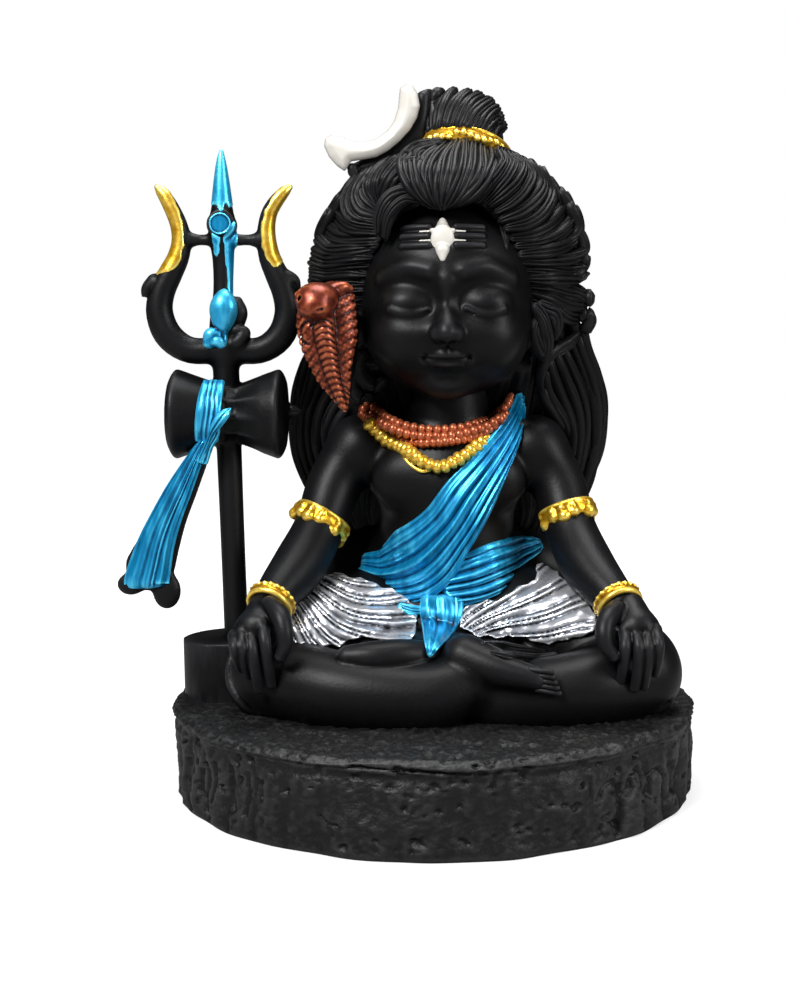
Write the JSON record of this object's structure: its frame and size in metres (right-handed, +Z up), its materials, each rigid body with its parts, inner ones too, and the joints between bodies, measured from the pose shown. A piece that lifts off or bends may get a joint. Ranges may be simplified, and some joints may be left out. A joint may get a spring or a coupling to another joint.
{
  "type": "seated shiva figure",
  "caption": "Small cross-legged seated figure with a tied-up mane, crescent, snake, sash and pleated cloth, beside a standing trident with a drum and scarf, on a round rough plinth.",
  "frame": {"origin": "centre of the plinth's flat underside", "axes": "+Z up, -Y the way the figure faces, +X towards the figure's own left hand; the trident stands at -X"},
  "size_m": [0.1126, 0.1013, 0.1351],
  "materials": {
    "black_resin": "black-stained cast resin, satin matte",
    "blue_paint": "metallic blue hand paint",
    "gold_paint": "metallic gold hand paint",
    "copper_paint": "metallic copper-red hand paint",
    "silver_paint": "bright silver paint, rubbed thin in the folds",
    "white_paint": "off-white gloss paint"
  },
  "bodies": {
    "root": {"shiva_figure": "black_resin"}
  },
  "joints": []
}
